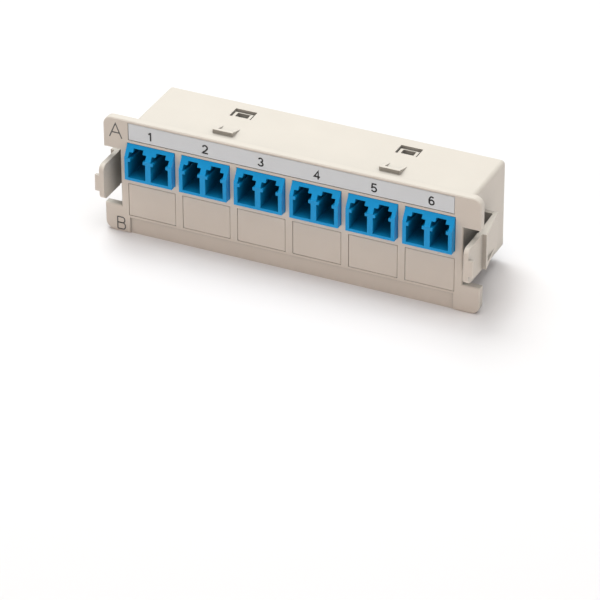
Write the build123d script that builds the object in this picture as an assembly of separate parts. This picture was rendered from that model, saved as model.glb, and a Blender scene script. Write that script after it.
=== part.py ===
# Fibre optic coupler module: a panel insert with six duplex couplers over six blanking plugs.
# Millimetres. X runs along the front face, Y from the front to the rear, Z up.
# The origin is the centre of the panel plane, where the rear of the fascia's rim meets the panel.
from build123d import *
import os

os.makedirs("parts", exist_ok=True)

# Cells
cell_count = 6
cell_wall = 2.0
cell_gap = 0.12
seat_clearance = 0.03

# Fascia, which reaches past the shell on every side
fascia_reach = 4.92
fascia_thickness = 2.0
fascia_web = 1.2
fascia_corner_radius = 2.3
fascia_edge_break = 0.25
rim_width = 1.0
notch_gap = 0.3
notch_height = 16.0
notch_drop = 0.6

# Label fields in the fascia, over and under the rows of cells
label_inset = 0.2
label_height = 4.84
label_thickness = 0.3
label_margin = 0.6
label_gap = 0.795
label_seam = 0.15
label_recess = 0.4
lower_gap = 0.72
lower_recess = 0.4
lower_recess_height = 4.5

# Couplers, with walls round a pair of ports
coupler_wall = 1.0
coupler_roof = 0.86
coupler_length = 29.6
coupler_reach = 1.93
slope_height = 3.11
port_pitch = 6.25
port_width = 4.75
port_floor = 0.78
plug_space = 4.48
nub_reach = 0.63
nub_height = 0.85
wing_height = 1.46
keyway_width = 2.65
keyway_height = 0.94
web_thickness = 1.0
groove_width = 8.0
groove_length = 1.5
groove_depth = 0.42

# Alignment sleeves and their holders
sleeve_bore = 1.25
sleeve_wall = 0.185
sleeve_length = 11.4
sleeve_slit = 0.25
sleeve_clearance = 0.04
holder_wall = 0.4
holder_sides = 12
stop_reach = 0.14
stop_width = 0.6
stop_length = 0.5

# Blanking plugs, a little narrower than the couplers
blank_inset = 0.08
blank_height = 9.0
row_gap = 2.175
blank_setback = 2.1
blank_wall = 1.3

# Carrier behind the fascia
carrier_side_wall = 0.71
carrier_top_wall = 1.29
carrier_floor = 0.6
carrier_corner_radius = 1.0
carrier_setback = 1.2
top_wall_relief = 1.6

# Shell round the carrier
module_depth = 24.8
shell_wall = 0.85
shell_gap = 0.05
shell_corner_radius = 1.1

# Snap windows over the second cell from each end, and the carrier's lugs in them
window_width = 5.85
window_length = 4.05
window_setback = 3.3
lug_front_gap = 0.15
lug_rear_gap = 0.8
lug_side_gap = 0.475
lug_sink = 0.3
lug_chamfer = 0.35
lug_end_wall = 0.6
lug_side_wall = 0.75
lug_slot_depth = 1.2

# Hooks on the shell
hook_width = 5.45
hook_length = 4.5
hook_height = 1.1
hook_wall = 0.9
hook_front = 7.6

# Locating blocks behind the fascia
block_width = 1.75
block_length = 2.5
block_height = 2.0
block_gap = 0.05

# Latches
latch_height = 9.7
latch_drop = 0.25
latch_thickness = 1.15
latch_gap = 2.3
latch_lean = 0.42
latch_rear = 12.9
latch_front = 6.95
tongue_thickness = 1.32
tongue_round = 1.6
knuckle_radius = 0.75
knuckle_clearance = 0.06
leg_end_gap = 0.45
catch_front = 1.7
catch_height = 1.15
catch_length = 8.8
catch_nose = 1.6
catch_border = 1.05
lip_reach = 1.2
lip_length = 0.9
lip_height = 4.5
lip_drop = 0.5

# Places that follow from the sizes above
coupler_width = port_pitch + port_width + 2 * coupler_wall
port_height = plug_space + nub_height + wing_height + keyway_height
coupler_height = port_floor + port_height + coupler_roof
blank_width = coupler_width - 2 * blank_inset
cell_pitch = coupler_width + cell_wall
front_face = -fascia_thickness
web_rear = front_face + fascia_web
coupler_front = front_face - coupler_reach
coupler_middle = coupler_front + coupler_length / 2
upper_part = label_margin + label_height + label_gap + coupler_height
lower_part = row_gap + blank_height + lower_gap + lower_recess_height
fascia_top = (upper_part + lower_part) / 2
label_top = fascia_top - label_margin
label_bottom = label_top - label_height
coupler_top = label_bottom - label_gap
coupler_bottom = coupler_top - coupler_height
blank_top = coupler_bottom - row_gap
blank_bottom = blank_top - blank_height
row_length = (cell_count - 1) * cell_pitch + coupler_width
label_length = row_length - 2 * label_inset
carrier_rear = module_depth - carrier_setback
carrier_half = row_length / 2 + cell_gap + carrier_side_wall
carrier_top = coupler_top + cell_gap + carrier_top_wall
carrier_bottom = blank_bottom - cell_gap - carrier_floor
shell_half = carrier_half + shell_gap + shell_wall
shell_top = carrier_top + shell_gap + shell_wall
shell_bottom = carrier_bottom - shell_gap - shell_wall
fascia_half = shell_half + fascia_reach
notch_half = shell_half + notch_gap
cell_centres = [(i - (cell_count - 1) / 2) * cell_pitch for i in range(cell_count)]
port_axis = coupler_bottom + port_floor + plug_space / 2
knuckle_x = shell_half + latch_gap + latch_thickness - knuckle_radius
knuckle_y = latch_rear - knuckle_radius
latch_bottom = -latch_drop - latch_height / 2
window_front = module_depth - window_setback - window_length
lug_width = window_width - 2 * lug_side_gap
lug_length = window_length - lug_front_gap - lug_rear_gap
sleeve_diameter = sleeve_bore + 2 * sleeve_wall
seat_radius = sleeve_diameter / 2 + sleeve_clearance
holder_diameter = 2 * (seat_radius + holder_wall)
holder_end = coupler_middle - sleeve_length / 2 - sleeve_clearance - stop_length


# A profile in X and Z, made solid between two distances from the panel plane
def slab(profile, front, rear):
    plane = Plane(origin=(0, rear, 0), x_dir=(1, 0, 0), z_dir=(0, -1, 0))
    return extrude(plane * profile, amount=rear - front)


# A rectangle in X and Z, given by its middle and its lower and upper edges
def band(middle, width, bottom, top):
    return Pos(middle, (bottom + top) / 2) * Rectangle(width, top - bottom)


# A rectangular block between two corners
def block(low, high):
    size = [b - a for a, b in zip(low, high)]
    middle = [(a + b) / 2 for a, b in zip(low, high)]
    return Pos(*middle) * Box(*size)


# A box section with rounded corners
def tube_profile(half, bottom, top, radius):
    return Pos(0, (bottom + top) / 2) * RectangleRounded(2 * half, top - bottom, radius)


# Outline of the shell, grown by a clearance
def shell_outline(grow):
    return tube_profile(shell_half + grow, shell_bottom - grow, shell_top + grow, shell_corner_radius + grow)


# Fascia plate with side notches, a raised rim behind its edge and two label recesses
def fascia_plate():
    outline = RectangleRounded(2 * fascia_half, 2 * fascia_top, fascia_corner_radius)
    notch_top = -notch_drop + notch_height / 2
    for side in (-1, 1):
        middle = side * (notch_half + fascia_half + rim_width) / 2
        outline -= band(middle, fascia_half + rim_width - notch_half, notch_top - notch_height, notch_top)
    inner = offset(outline, amount=-rim_width, kind=Kind.INTERSECTION)
    plate = slab(outline, front_face, 0)
    plate = chamfer(plate.faces().sort_by(Axis.Y)[0].outer_wire().edges(), fascia_edge_break)
    plate -= slab(inner, web_rear, 0)
    plate -= slab(band(0, label_length, label_bottom, label_top), front_face, front_face + label_recess)
    field = band(0, label_length, -fascia_top, blank_bottom - lower_gap)
    return plate - slab(field, front_face, front_face + lower_recess)


# Snap lug that stands into a window of the shell
def snap_lug(x):
    front = window_front + lug_front_gap
    low = (x - lug_width / 2, front, carrier_top - shell_gap)
    high = (x + lug_width / 2, front + lug_length, shell_top - lug_sink)
    lug = block(low, high)
    ramp = lug.edges().filter_by(Axis.X).group_by(Axis.Y)[-1].sort_by(Axis.Z)[-1]
    return chamfer(ramp, lug_chamfer)


# Slot that lightens a snap lug
def lug_slot(x):
    front = window_front + lug_front_gap
    half_width = lug_width / 2 - lug_side_wall
    top = shell_top - lug_sink
    low = (x - half_width, front + lug_end_wall, top - lug_slot_depth)
    return block(low, (x + half_width, front + lug_length - lug_end_wall, top))


# Fascia and carrier, one moulding
def front_frame():
    body = tube_profile(carrier_half, carrier_bottom, carrier_top, carrier_corner_radius)
    frame = fascia_plate() - slab(shell_outline(shell_gap), web_rear, 0)
    frame += slab(body, front_face + fascia_web / 2, carrier_rear)
    for x in (cell_centres[1], cell_centres[-2]):
        frame += snap_lug(x)
        frame -= lug_slot(x)
    for x in cell_centres:
        frame -= slab(cell(x, coupler_width, coupler_bottom, coupler_top), front_face, carrier_rear)
        frame -= slab(cell(x, blank_width, blank_bottom, blank_top), front_face, carrier_rear)
        relief = band(x, coupler_width + 2 * cell_gap, coupler_top, carrier_top)
        frame -= slab(relief, carrier_rear - top_wall_relief, carrier_rear)
        frame += seat_rib(x, coupler_bottom) + seat_rib(x, blank_bottom)
    return frame + locating_blocks()


# Outline of a cell, with a gap round what sits in it
def cell(x, width, bottom, top):
    return band(x, width + 2 * cell_gap, bottom - cell_gap, top + cell_gap)


# Rib across a cell's floor that holds its coupler or plug by the groove underneath
def seat_rib(x, seat):
    half_width = groove_width / 2 - seat_clearance
    half_length = groove_length / 2 - seat_clearance
    low = (x - half_width, coupler_middle - half_length, seat - 2 * cell_gap)
    return block(low, (x + half_width, coupler_middle + half_length, seat + groove_depth - seat_clearance))


# Groove under a coupler or a plug
def seat_groove(seat):
    low = (-groove_width / 2, coupler_middle - groove_length / 2, seat)
    return block(low, (groove_width / 2, coupler_middle + groove_length / 2, seat + groove_depth))


# Blocks behind the fascia that centre the module in the panel's cut-out
def locating_blocks():
    bottom = shell_top + block_gap
    blocks = Part()
    for i in range(cell_count + 1):
        x = (i - cell_count / 2) * cell_pitch
        left = max(x - block_width / 2, -cell_pitch * cell_count / 2)
        right = min(x + block_width / 2, cell_pitch * cell_count / 2)
        blocks += block((left, web_rear - fascia_web / 2, bottom), (right, web_rear + block_length, bottom + block_height))
    return blocks


# One hook on the shell: a stop wall with a ramp running down from each end
def shell_hook(x):
    low = shell_top - shell_wall / 2
    high = shell_top + hook_height
    rear = hook_front + hook_length
    side = Plane.YZ * make_face(Polyline((hook_front, low), (rear, low), (rear, shell_top), (hook_front, high), close=True))
    hook = block((x - hook_width / 2, hook_front, low), (x + hook_width / 2, hook_front + hook_wall, high))
    for start in (x - hook_width / 2, x + hook_width / 2 - hook_wall):
        hook += Pos(start, 0, 0) * extrude(side, amount=hook_wall, dir=(1, 0, 0))
    return hook


# Leg that carries a latch, with a round seat for the latch's knuckle
def latch_leg():
    low = (shell_half - shell_wall / 2, latch_rear - latch_thickness, latch_bottom)
    leg = block(low, (knuckle_x - leg_end_gap, latch_rear, latch_bottom + latch_height))
    seat = Pos(knuckle_x, knuckle_y, -latch_drop) * Cylinder(knuckle_radius + knuckle_clearance, latch_height)
    return leg - seat


# Open-ended shell round the carrier
def housing_shell():
    low = carrier_bottom - shell_gap
    high = carrier_top + shell_gap
    inner = tube_profile(carrier_half + shell_gap, low, high, carrier_corner_radius + shell_gap)
    shell = slab(shell_outline(0) - inner, web_rear, module_depth)
    for x in (cell_centres[1], cell_centres[-2]):
        low = (x - window_width / 2, window_front, carrier_top)
        shell -= block(low, (x + window_width / 2, window_front + window_length, shell_top))
        shell += shell_hook(x)
    leg = latch_leg()
    return shell + leg + mirror(leg, Plane.YZ)


# Latch arm on the +X side, squeezed towards the shell about its knuckle
def latch_arm():
    root_x = shell_half + latch_gap
    root_y = knuckle_y
    step_x = root_x + latch_lean
    outer_x = step_x + latch_thickness
    strap = Polyline(
        (root_x, root_y),
        (step_x, catch_front),
        (outer_x, catch_front),
        (root_x + latch_thickness, root_y),
        close=True,
    )
    wedge_rear = catch_front + catch_length
    wedge_x = outer_x - latch_lean * catch_length / (root_y - catch_front)
    wedge = Polyline(
        (wedge_x, wedge_rear),
        (outer_x, catch_front),
        (outer_x + catch_height, catch_front),
        close=True,
    )
    pocket = Polyline(
        (wedge_x, wedge_rear),
        (outer_x, catch_front + catch_nose),
        (outer_x + 2 * catch_height, catch_front + catch_nose),
        (wedge_x + 2 * catch_height, wedge_rear),
        close=True,
    )
    arm = standing(strap, latch_bottom, latch_height) + standing(wedge, latch_bottom, latch_height)
    arm += Pos(knuckle_x, knuckle_y, -latch_drop) * Cylinder(knuckle_radius, latch_height)
    arm -= standing(pocket, latch_bottom + catch_border, latch_height - 2 * catch_border)
    top = latch_bottom + latch_height
    tongue = block((outer_x - tongue_thickness, -latch_front, latch_bottom), (outer_x, catch_front, top))
    tongue = fillet(tongue.edges().filter_by(Axis.X).group_by(Axis.Y)[0], tongue_round)
    lip_low = (outer_x - tongue_thickness / 2, -latch_front, -lip_drop - lip_height / 2)
    lip = block(lip_low, (outer_x + lip_reach, -latch_front + lip_length, -lip_drop + lip_height / 2))
    return arm + tongue + lip


# An outline in X and Y, made solid from a height upwards
def standing(outline, bottom, height):
    return Pos(0, 0, bottom) * extrude(make_face(outline), amount=height, dir=(0, 0, 1))


# Outline of one port: a square for the plug, side nubs over it, wings and a keyway
def port_profile(x):
    floor = coupler_bottom + port_floor
    nub = floor + plug_space
    wing_top = nub + nub_height + wing_height
    outline = band(x, port_width, floor, wing_top)
    outline += band(x, keyway_width, wing_top - wing_height / 2, wing_top + keyway_height)
    for side in (-1, 1):
        middle = x + side * (port_width - nub_reach) / 2
        outline -= band(middle, nub_reach, nub, nub + nub_height)
    return outline


# Front half of a duplex coupler at the middle of the row, with its halves of the sleeves' holders
def coupler_half():
    body = slab(band(0, coupler_width, coupler_bottom, coupler_top), coupler_front, coupler_middle)
    bend = coupler_top - slope_height
    slope = Plane.YZ * make_face(
        Polyline((coupler_front, bend), (coupler_front, coupler_top), (coupler_front + coupler_reach, coupler_top), close=True)
    )
    body -= Pos(-coupler_width / 2, 0, 0) * extrude(slope, amount=coupler_width, dir=(1, 0, 0))
    for x in (-port_pitch / 2, port_pitch / 2):
        body -= slab(port_profile(x), coupler_front, coupler_middle - web_thickness)
        body += sleeve_holder(x)
        body -= slab(Pos(x, port_axis) * Circle(seat_radius), holder_end + stop_length, coupler_middle)
    return body - seat_groove(coupler_bottom)


# Half of a sleeve's holder: a twelve-sided tube with two stops at its mouth that keep the sleeve in
def sleeve_holder(x):
    tube = Pos(x, port_axis) * (RegularPolygon(holder_diameter / 2, holder_sides) - Circle(seat_radius))
    holder = slab(tube, holder_end, coupler_middle)
    for side in (-1, 1):
        middle = x + side * (seat_radius + (holder_diameter / 2 - seat_radius) / 2 - stop_reach)
        stop = band(middle, holder_diameter / 2 - seat_radius, port_axis - stop_width / 2, port_axis + stop_width / 2)
        holder += slab(stop, holder_end, holder_end + stop_length)
    return holder


# Split sleeve that lines up two ferrules, with its slit on top
def split_sleeve(x):
    half_length = sleeve_length / 2
    ring = Circle(sleeve_diameter / 2) - Circle(sleeve_bore / 2)
    ring -= Pos(0, sleeve_diameter / 2) * Rectangle(sleeve_slit, sleeve_diameter)
    return slab(Pos(x, port_axis) * ring, coupler_middle - half_length, coupler_middle + half_length)


# Blanking plug, cored out from above
def blanking_plug():
    rear = carrier_rear - blank_setback
    plug = slab(band(0, blank_width, blank_bottom, blank_top), front_face, rear)
    low = (blank_wall - blank_width / 2, front_face + blank_wall, blank_bottom + blank_wall)
    plug -= block(low, (blank_width / 2 - blank_wall, rear - blank_wall, blank_top))
    return plug - seat_groove(blank_bottom)


# Printed strip in the upper label recess
def label_strip():
    length = label_length - 2 * label_seam
    height = label_height - 2 * label_seam
    middle = label_bottom + label_height / 2
    strip = Pos(0, middle) * Rectangle(length, height)
    rear = front_face + label_recess
    return slab(strip, rear - label_thickness, rear)


def save(part, name):
    part.label = name
    export_step(part, f"parts/{name}.step")


save(front_frame(), "front_frame")
save(housing_shell(), "housing_shell")
save(label_strip(), "label_strip")
right_latch = latch_arm()
save(right_latch, "latch_right")
save(mirror(right_latch, Plane.YZ), "latch_left")

front_half = coupler_half()
rear_half = mirror(front_half, Plane(origin=(0, coupler_middle, 0), z_dir=(0, 1, 0)))
plug = blanking_plug()
for number, x in enumerate(cell_centres, start=1):
    save(Pos(x, 0, 0) * front_half, f"coupler_{number}_front")
    save(Pos(x, 0, 0) * rear_half, f"coupler_{number}_rear")
    save(split_sleeve(x - port_pitch / 2), f"coupler_{number}_sleeve_left")
    save(split_sleeve(x + port_pitch / 2), f"coupler_{number}_sleeve_right")
    save(Pos(x, 0, 0) * plug, f"blanking_plug_{number}")
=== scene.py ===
"""Looks of the fibre optic coupler module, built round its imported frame. Metres, +Z up, front towards -Y."""

import math

import bpy
from mathutils import Matrix, Vector


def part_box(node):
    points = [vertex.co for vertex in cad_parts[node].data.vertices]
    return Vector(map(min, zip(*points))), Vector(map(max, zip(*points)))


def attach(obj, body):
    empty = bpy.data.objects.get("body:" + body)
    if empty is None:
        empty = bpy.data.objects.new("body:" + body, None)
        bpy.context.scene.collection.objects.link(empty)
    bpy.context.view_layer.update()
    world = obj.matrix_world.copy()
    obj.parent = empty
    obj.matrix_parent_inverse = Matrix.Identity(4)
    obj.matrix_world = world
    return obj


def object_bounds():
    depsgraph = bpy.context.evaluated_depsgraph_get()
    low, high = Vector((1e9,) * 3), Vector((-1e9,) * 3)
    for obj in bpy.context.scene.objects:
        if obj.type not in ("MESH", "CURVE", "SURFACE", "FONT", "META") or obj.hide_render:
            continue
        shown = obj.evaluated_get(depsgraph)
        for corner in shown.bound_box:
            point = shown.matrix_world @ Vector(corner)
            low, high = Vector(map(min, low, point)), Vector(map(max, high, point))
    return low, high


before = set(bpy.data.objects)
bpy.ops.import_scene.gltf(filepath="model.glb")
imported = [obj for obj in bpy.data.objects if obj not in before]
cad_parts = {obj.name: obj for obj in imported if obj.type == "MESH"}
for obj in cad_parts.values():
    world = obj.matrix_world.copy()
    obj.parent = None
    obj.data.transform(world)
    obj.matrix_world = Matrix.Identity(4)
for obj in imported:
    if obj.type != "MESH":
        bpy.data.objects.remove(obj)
cad_low, cad_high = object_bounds()

MM = 0.001

# Camera: the photograph's front view, in its frame of 600 x 600 pixels
PHOTO_WIDTH = 600
FOCAL_PIXELS = 3962.9
SENSOR_WIDTH = 36.0
VIEW_AZIMUTH = 25.07
VIEW_ELEVATION = 31.34
VIEW_ROLL = -0.19
VIEW_DISTANCE = 0.9817
VIEW_TARGET = Vector((2.01, 0.0, -25.09)) * MM

# Colours, linear
CASE_COLOUR = (0.70, 0.63, 0.55)
BLUE_COLOUR = (0.008, 0.335, 0.72)
LABEL_COLOUR = (0.71, 0.735, 0.745)
ZIRCONIA_COLOUR = (0.86, 0.86, 0.84)
INK_COLOUR = (0.006, 0.006, 0.007)
LETTER_COLOUR = (0.10, 0.095, 0.09)
FLOOR_COLOUR = (0.90, 0.86, 0.85)

# Painted shade: colours painted deep in a plastic's recesses where shade falls, how far off a wall still
# counts, and the depth of the fascia's front layer, where only a piece's own walls count, because the floor
# would darken its lower edge
CASE_PAINTED_SHADE_COLOUR = (0.20, 0.20, 0.19)
BLUE_PAINTED_SHADE_COLOUR = (0.0, 0.15, 0.27)
PAINTED_SHADE_OCCLUSION = {"samples": 8, "distance": 8 * MM}
FRONT_LAYER = 0.5 * MM

# Finish of a moulded plastic with its painted shade: colour, painted shade colour in its recesses, roughness,
# shine, width and depth of its grain
CASE_FINISH_AND_SHADE = (CASE_COLOUR, CASE_PAINTED_SHADE_COLOUR, 0.45, 0.3, 0.14 * MM, 0.006 * MM)
BLUE_FINISH_AND_SHADE = (BLUE_COLOUR, BLUE_PAINTED_SHADE_COLOUR, 0.34, 0.2, 0.10 * MM, 0.003 * MM)
PLASTIC_GLOSS_SPREAD = 0.07

# Finish of the label paper, the zirconia and the inks
PAPER_ROUGHNESS = 0.55
PAPER_RELIEF = 0.004 * MM
ZIRCONIA_ROUGHNESS = (0.12, 0.2)
ZIRCONIA_IOR = 2.1
INK_ROUGHNESS = 0.4
LETTER_ROUGHNESS = 0.5

# Patterns in the surfaces: how fine they are, per metre, and the share by which they change a colour
CLOUD_SCALE = 90.0
CLOUD_SHARE = 0.04
FIBRE_SCALE = 2500.0
FIBRE_SHARE = 0.03
COVER_SCALE = 1800.0
COVER_SHARE = 0.2
GLAZE_SCALE = 900.0

# Edge breaks: their widths, how facets are joined before them, and the angle at which an edge is sharp
CASE_EDGE = 0.10 * MM
COUPLER_EDGE = 0.10 * MM
SLEEVE_EDGE = 0.04 * MM
WELD_REACH = 0.0005 * MM
FLAT_ANGLE = math.radians(0.5)
SHARP_ANGLE = math.radians(35)

# Numbers on the label, one over each coupler
CELL_COUNT = 6
DIGIT_PITCH = 15.09 * MM
DIGIT_HEIGHT = 2.4 * MM
DIGIT_FOOT = 11.6 * MM
DIGIT_STROKE = 0.42 * MM
PRINT_LIFT = 0.004 * MM
PRINT_THICKNESS = 0.012 * MM

# Row letters on the fascia
LETTER_STROKE = 0.33 * MM
LETTER_A = {"middle": -47.2 * MM, "foot": 10.55 * MM, "width": 3.4 * MM, "height": 3.95 * MM}
LETTER_B = {"middle": -46.3 * MM, "foot": -15.4 * MM, "width": 2.3 * MM, "height": 3.45 * MM}

# Light and floor, with lamps on a sphere round the module
WORLD_LEVEL = 0.17
LAMP_DISTANCE = 0.9
LAMP_SIZE = 0.6
OVERHEAD_SIZE = 0.7
COOL_LIGHT = (0.93, 0.985, 1.0)
WARM_LIGHT = (1.0, 0.77, 0.69)
FLOOR_SIZE = 8.0


# Helpers for pieces


def nodes_named(*starts):
    """CAD nodes whose names begin with one of the words."""
    return [node for name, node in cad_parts.items() if name.startswith(starts)]


def paint(objects, material):
    for obj in objects:
        obj.data.materials.clear()
        obj.data.materials.append(material)


def soften(objects, width):
    """Breaks the sharp edges of CAD nodes with a narrow round, inside their own outline."""
    for obj in objects:
        weld = obj.modifiers.new("weld", "WELD")
        weld.merge_threshold = WELD_REACH
        faces = obj.modifiers.new("faces", "DECIMATE")
        faces.decimate_type = "DISSOLVE"
        faces.angle_limit = FLAT_ANGLE
        edges = obj.modifiers.new("edges", "BEVEL")
        edges.width = width
        edges.segments = 2
        edges.limit_method = "ANGLE"
        edges.angle_limit = SHARP_ANGLE
        edges.use_clamp_overlap = True


# Helpers for shaders


def add(tree, kind, **values):
    """A shader node with its settings and unlinked inputs."""
    node = tree.nodes.new(kind)
    for key, value in values.items():
        label = key.replace("_", " ").title()
        if label in node.inputs:
            node.inputs[label].default_value = value
        else:
            setattr(node, key, value)
    return node


def new_material(name):
    material = bpy.data.materials.new(name)
    material.use_nodes = True
    return material, material.node_tree, material.node_tree.nodes["Principled BSDF"]


def noise(tree, place, scale, detail, roughness=0.5):
    """A cloudy pattern, 0 to 1."""
    texture = add(tree, "ShaderNodeTexNoise", scale=scale, detail=detail, roughness=roughness)
    tree.links.new(place, texture.inputs["Vector"])
    return texture.outputs["Fac"]


def tinted(tree, pattern, colour, share):
    """A colour that a pattern makes darker and lighter by a share."""
    tint = add(tree, "ShaderNodeMix", data_type="RGBA")
    tint.inputs[6].default_value = (*[c * (1 - share) for c in colour], 1)
    tint.inputs[7].default_value = (*[c * (1 + share) for c in colour], 1)
    tree.links.new(pattern, tint.inputs[0])
    return tint.outputs[2]


def roughen(tree, shader, pattern, low, high):
    """Roughness that follows a pattern from low to high."""
    gloss = add(tree, "ShaderNodeMapRange", to_min=low, to_max=high)
    tree.links.new(pattern, gloss.inputs["Value"])
    tree.links.new(gloss.outputs["Result"], shader.inputs["Roughness"])


def emboss(tree, shader, pattern, strength, depth):
    """A pattern as relief of the surface."""
    bump = add(tree, "ShaderNodeBump", strength=strength, distance=depth)
    tree.links.new(pattern, bump.inputs["Height"])
    tree.links.new(bump.outputs["Normal"], shader.inputs["Normal"])


def openness(tree, place, own_walls_until):
    """How open a spot is, 0 to 1, the mask of the painted shade: by its own piece's walls up to a place along
    Y, past it by all walls.
    """
    own = add(tree, "ShaderNodeAmbientOcclusion", **PAINTED_SHADE_OCCLUSION, only_local=True)
    every = add(tree, "ShaderNodeAmbientOcclusion", **PAINTED_SHADE_OCCLUSION)
    axes = add(tree, "ShaderNodeSeparateXYZ")
    past = add(tree, "ShaderNodeMath", operation="GREATER_THAN")
    past.inputs[1].default_value = own_walls_until
    either = add(tree, "ShaderNodeMix", data_type="FLOAT")
    tree.links.new(place, axes.inputs["Vector"])
    tree.links.new(axes.outputs["Y"], past.inputs[0])
    tree.links.new(past.outputs[0], either.inputs[0])
    tree.links.new(own.outputs["AO"], either.inputs[2])
    tree.links.new(every.outputs["AO"], either.inputs[3])
    return either.outputs[0]


# Materials


def moulded_plastic(name, colour, painted_shade_colour, roughness, shine, grain, grain_depth, own_walls_until):
    """Moulded plastic: a faint cloud in its colour, a fine spark-eroded grain, and painted shade that darkens
    its recesses towards a set colour.
    """
    material, tree, shader = new_material(name)
    place = add(tree, "ShaderNodeTexCoord").outputs["Object"]
    cloud = noise(tree, place, CLOUD_SCALE, detail=3.0)
    speckle = noise(tree, place, 1 / grain, detail=4.0, roughness=0.6)

    # Painted shade: the colour turns towards the shade colour where walls close a spot in
    shaded = add(tree, "ShaderNodeMix", data_type="RGBA")
    shaded.inputs[6].default_value = (*painted_shade_colour, 1)
    tree.links.new(openness(tree, place, own_walls_until), shaded.inputs[0])
    tree.links.new(tinted(tree, cloud, colour, CLOUD_SHARE), shaded.inputs[7])
    tree.links.new(shaded.outputs[2], shader.inputs["Base Color"])

    roughen(tree, shader, speckle, roughness - PLASTIC_GLOSS_SPREAD, roughness + PLASTIC_GLOSS_SPREAD)
    emboss(tree, shader, speckle, 0.5, grain_depth)
    shader.inputs["Specular IOR Level"].default_value = shine
    return material


def paper(name, colour):
    """Smooth label paper: fine fibres show in its colour and its surface."""
    material, tree, shader = new_material(name)
    place = add(tree, "ShaderNodeTexCoord").outputs["Object"]
    stretch = add(tree, "ShaderNodeMapping", scale=(1.0, 1.0, 4.0))
    tree.links.new(place, stretch.inputs["Vector"])
    fibres = noise(tree, stretch.outputs["Vector"], FIBRE_SCALE, detail=5.0, roughness=0.7)
    tree.links.new(tinted(tree, fibres, colour, FIBRE_SHARE), shader.inputs["Base Color"])
    emboss(tree, shader, fibres, 0.25, PAPER_RELIEF)
    shader.inputs["Roughness"].default_value = PAPER_ROUGHNESS
    return material


def ceramic(name, colour):
    """Polished zirconia with a faint unevenness of its gloss."""
    material, tree, shader = new_material(name)
    place = add(tree, "ShaderNodeTexCoord").outputs["Object"]
    roughen(tree, shader, noise(tree, place, GLAZE_SCALE, detail=2.0), *ZIRCONIA_ROUGHNESS)
    shader.inputs["Base Color"].default_value = (*colour, 1)
    shader.inputs["IOR"].default_value = ZIRCONIA_IOR
    return material


def ink(name, colour, roughness):
    """Printing ink, a little uneven in its cover."""
    material, tree, shader = new_material(name)
    place = add(tree, "ShaderNodeTexCoord").outputs["Object"]
    cover = noise(tree, place, COVER_SCALE, detail=3.0)
    tree.links.new(tinted(tree, cover, colour, COVER_SHARE), shader.inputs["Base Color"])
    shader.inputs["Roughness"].default_value = roughness
    return material


# Print, drawn with strokes in a box one unit high, with its foot at 0


def arc(x, z, half_width, half_height, start, end, steps=14):
    """Points along part of an ellipse. Angles in degrees, 0 at the right and 90 at the top."""
    turns = [math.radians(start + (end - start) * i / steps) for i in range(steps + 1)]
    return [(x + half_width * math.cos(t), z + half_height * math.sin(t)) for t in turns]


# Centre lines of each number and letter
SIGN_STROKES = {
    "1": [[(0.07, 0.0), (0.07, 0.99)], [(0.04, 0.90), (-0.03, 0.83), (-0.18, 0.75)]],
    "2": [arc(0.0, 0.68, 0.26, 0.26, 168, -32) + [(0.05, 0.34), (-0.17, 0.18), (-0.26, 0.06), (0.32, 0.06)]],
    "3": [arc(-0.01, 0.725, 0.22, 0.215, 165, -90), arc(-0.01, 0.285, 0.265, 0.225, 90, -168)],
    "4": [[(0.13, 0.0), (0.13, 0.94), (-0.29, 0.29), (0.33, 0.29)]],
    "5": [[(0.28, 0.93), (-0.17, 0.93), (-0.235, 0.48)] + arc(0.0, 0.32, 0.265, 0.26, 140, -160)],
    "6": [arc(0.02, 0.5, 0.28, 0.44, 50, 190), arc(0.0, 0.32, 0.26, 0.255, 0, 360, 26)],
    "A": [[(-0.5, 0.0), (0.0, 1.0), (0.5, 0.0)], [(-0.32, 0.36), (0.32, 0.36)]],
    "B": [
        [(-0.45, 0.0), (-0.45, 1.0)],
        [(-0.45, 0.53)] + arc(0.17, 0.76, 0.25, 0.23, -90, 90) + [(-0.45, 0.99)],
        [(-0.45, 0.01)] + arc(0.2, 0.27, 0.28, 0.26, -90, 90) + [(-0.45, 0.53)],
    ],
}


def ribbon(points, width):
    """The two edges of a flat stroke along some points, mitred at its corners."""
    lines = [Vector(p) for p in points]
    runs = [(b - a).normalized() for a, b in zip(lines, lines[1:])]
    left, right = [], []
    for i, point in enumerate(lines):
        before = runs[max(i - 1, 0)]
        after = runs[min(i, len(runs) - 1)]
        along = (before + after).normalized()
        reach = width / 2 / max(0.45, along.dot(after))
        side = Vector((-along.y, along.x)) * reach
        left.append(point + side)
        right.append(point - side)
    return left, right


def printed_sign(name, sign, material, slot, face_y, stroke, middle, foot, width, height):
    """A number or letter as a thin film of ink on a face that looks forwards."""
    vertices, faces = [], []
    back = face_y - PRINT_LIFT
    for line in SIGN_STROKES[sign]:
        points = [(middle + x * width, foot + z * height) for x, z in line]
        left, right = ribbon(points, stroke)
        for a, b, c, d in zip(left, right, right[1:], left[1:]):
            start = len(vertices)
            vertices += [(p.x, y, p.y) for y in (back, back - PRINT_THICKNESS) for p in (a, b, c, d)]
            sides = [(0, 1, 2, 3), (7, 6, 5, 4), (0, 4, 5, 1), (1, 5, 6, 2), (2, 6, 7, 3), (3, 7, 4, 0)]
            faces += [[start + corner for corner in side] for side in sides]
    mesh = bpy.data.meshes.new(name)
    mesh.from_pydata(vertices, [], faces)
    piece = bpy.data.objects.new(name, mesh)
    bpy.context.scene.collection.objects.link(piece)
    paint([piece], material)
    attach(piece, "module")


# Stage


def direction(azimuth, elevation):
    """Unit vector from the module towards a viewer or lamp. Azimuth 0 is in front, 90 at the right."""
    a, e = math.radians(azimuth), math.radians(elevation)
    return Vector((math.sin(a) * math.cos(e), -math.cos(a) * math.cos(e), math.sin(e)))


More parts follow.
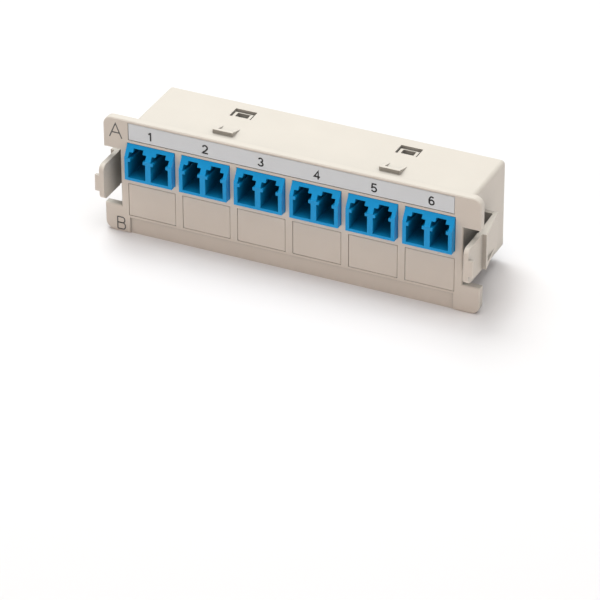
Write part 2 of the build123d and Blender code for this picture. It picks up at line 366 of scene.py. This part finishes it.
def photo_camera():
    camera = bpy.data.cameras.new("photo_camera")
    camera.sensor_width = SENSOR_WIDTH
    camera.lens = FOCAL_PIXELS / PHOTO_WIDTH * SENSOR_WIDTH
    camera.clip_start = 0.01
    camera.clip_end = 20.0
    obj = bpy.data.objects.new("photo_camera", camera)
    bpy.context.scene.collection.objects.link(obj)
    back = direction(VIEW_AZIMUTH, VIEW_ELEVATION)
    obj.location = VIEW_TARGET + back * VIEW_DISTANCE
    aim = back.to_track_quat("Z", "Y").to_matrix().to_4x4()
    roll = Matrix.Rotation(math.radians(VIEW_ROLL), 4, "Z")
    obj.rotation_euler = (aim @ roll).to_euler()
    bpy.context.scene.camera = obj


def pale_floor():
    """Plain pale floor under the fascia's lower edge."""
    mesh = bpy.data.meshes.new("floor")
    half = FLOOR_SIZE / 2
    corners = [(x, y, cad_low.z) for x, y in ((-half, -half), (half, -half), (half, half), (-half, half))]
    mesh.from_pydata(corners, [], [(0, 1, 2, 3)])
    floor = bpy.data.objects.new("floor", mesh)
    bpy.context.scene.collection.objects.link(floor)
    material, _, shader = new_material("floor")
    shader.inputs["Base Color"].default_value = (*FLOOR_COLOUR, 1)
    shader.inputs["Roughness"].default_value = 0.9
    shader.inputs["Specular IOR Level"].default_value = 0.1
    paint([floor], material)


def studio_world():
    """Even pale surroundings: the set level for light, white where a ray sees them directly or in a gloss."""
    world = bpy.data.worlds.new("studio")
    bpy.context.scene.world = world
    world.use_nodes = True
    tree = world.node_tree
    background = tree.nodes["Background"]
    background.inputs["Color"].default_value = (1, 1, 1, 1)
    rays = add(tree, "ShaderNodeLightPath")
    seen = add(tree, "ShaderNodeMath", operation="MAXIMUM")
    tree.links.new(rays.outputs["Is Camera Ray"], seen.inputs[0])
    tree.links.new(rays.outputs["Is Glossy Ray"], seen.inputs[1])
    seen_through = add(tree, "ShaderNodeMath", operation="MAXIMUM")
    tree.links.new(seen.outputs[0], seen_through.inputs[0])
    tree.links.new(rays.outputs["Is Transmission Ray"], seen_through.inputs[1])
    level = add(tree, "ShaderNodeMapRange", to_min=WORLD_LEVEL, to_max=1.0)
    tree.links.new(seen_through.outputs[0], level.inputs["Value"])
    tree.links.new(level.outputs["Result"], background.inputs["Strength"])


def softbox(name, azimuth, elevation, level, colour=(1, 1, 1), size=LAMP_SIZE):
    """A square area lamp aimed at the module. A level of 1 lights a white face turned to it to 1."""
    lamp = bpy.data.lights.new(name, "AREA")
    lamp.shape = "SQUARE"
    lamp.size = size
    lamp.color = colour
    lamp.energy = level * math.pi**2 * LAMP_DISTANCE**2
    obj = bpy.data.objects.new(name, lamp)
    bpy.context.scene.collection.objects.link(obj)
    back = direction(azimuth, elevation)
    obj.location = back * LAMP_DISTANCE
    obj.rotation_euler = back.to_track_quat("Z", "Y").to_euler()


# The module's pieces and their materials

fascia_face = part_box("front_frame")[0].y
# Painted shade in each plastic's recesses: on the fascia's front layer only by its own walls, on the shell and
# latches by all walls, on the couplers only by their own walls
case = moulded_plastic("case_plastic", *CASE_FINISH_AND_SHADE, fascia_face + FRONT_LAYER)
arm = moulded_plastic("case_plastic_arm", *CASE_FINISH_AND_SHADE, cad_low.y)
blue = moulded_plastic("coupler_blue", *BLUE_FINISH_AND_SHADE, cad_high.y)
label = paper("label", LABEL_COLOUR)
zirconia = ceramic("zirconia", ZIRCONIA_COLOUR)
print_ink = ink("print_ink", INK_COLOUR, INK_ROUGHNESS)
letter_ink = ink("letter_ink", LETTER_COLOUR, LETTER_ROUGHNESS)

fascia_nodes = nodes_named("front_frame", "blanking_plug_")
shell_nodes = nodes_named("housing_shell", "latch_")
sleeve_nodes = [node for node in nodes_named("coupler_") if "sleeve" in node.name]
coupler_nodes = [node for node in nodes_named("coupler_") if "sleeve" not in node.name]
paint(fascia_nodes, case)
paint(shell_nodes, arm)
paint(coupler_nodes, blue)
paint(sleeve_nodes, zirconia)
paint(nodes_named("label_strip"), label)
soften(fascia_nodes + shell_nodes, CASE_EDGE)
soften(coupler_nodes, COUPLER_EDGE)
soften(sleeve_nodes, SLEEVE_EDGE)

# Print

label_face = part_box("label_strip")[0].y
for number in range(1, CELL_COUNT + 1):
    middle = (number - (CELL_COUNT + 1) / 2) * DIGIT_PITCH
    digit = {"middle": middle, "foot": DIGIT_FOOT, "width": DIGIT_HEIGHT, "height": DIGIT_HEIGHT}
    printed_sign(f"digit_{number}", str(number), print_ink, "label", label_face, DIGIT_STROKE, **digit)
for sign, letter in (("A", LETTER_A), ("B", LETTER_B)):
    name = f"row_letter_{sign.lower()}"
    printed_sign(name, sign, letter_ink, "case_plastic", fascia_face, LETTER_STROKE, **letter)

# Camera, floor and light

photo_camera()
pale_floor()
studio_world()
softbox("overhead", 0, 88, 0.57, COOL_LIGHT, OVERHEAD_SIZE)
softbox("front", 5, 14, 0.18, WARM_LIGHT)
softbox("side", 90, 45, 0.20)
softbox("back_left", -130, 58, 0.62, COOL_LIGHT)
bpy.context.scene.view_settings.view_transform = "Standard"
